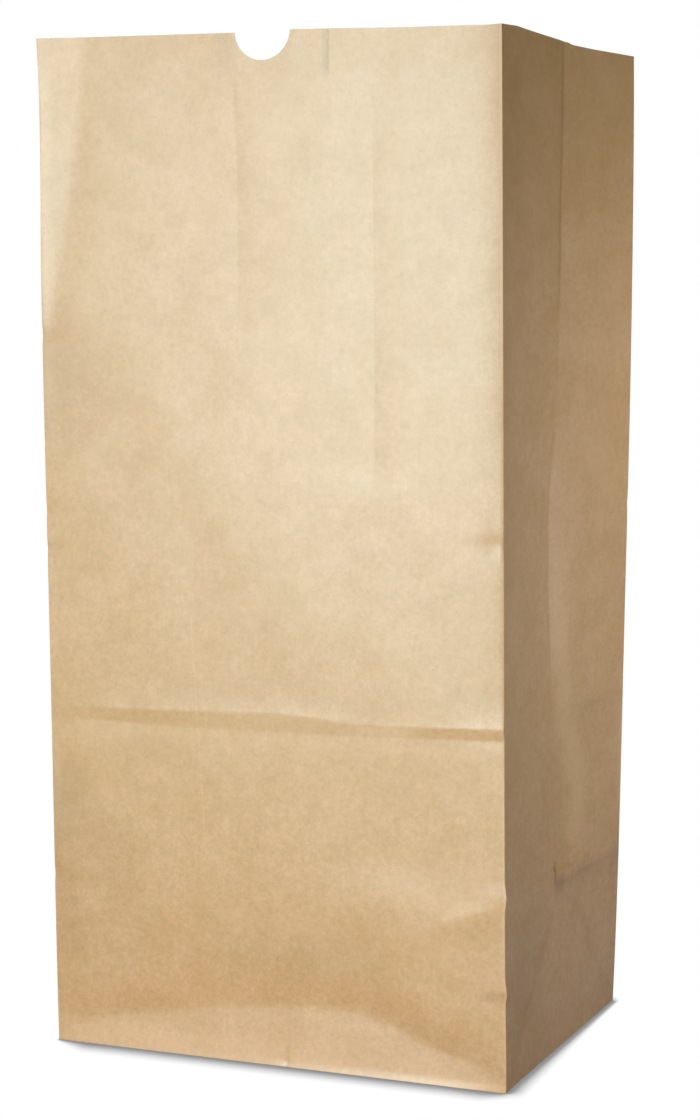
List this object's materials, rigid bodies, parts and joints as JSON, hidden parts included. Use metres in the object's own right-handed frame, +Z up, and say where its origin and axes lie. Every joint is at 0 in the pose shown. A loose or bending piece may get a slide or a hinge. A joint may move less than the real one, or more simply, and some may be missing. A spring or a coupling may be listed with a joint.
{
  "type": "paper yard waste bag",
  "caption": "Tall open-topped kraft paper bag with side gussets, a folded and glued flat base and a thumb notch in the front edge, standing open to take leaves and garden clippings.",
  "frame": {"origin": "middle of the base, on the surface that the bag stands on", "axes": "+Z up, from the base to the open mouth; -Y out of the front panel, which has the thumb notch; +X to the right, seen from the front"},
  "size_m": [0.4214, 0.3168, 0.85],
  "materials": {
    "kraft_paper": "uncoated brown kraft, matt with a faint machine sheen"
  },
  "bodies": {
    "root": {"paper_bag": "kraft_paper"}
  },
  "joints": []
}
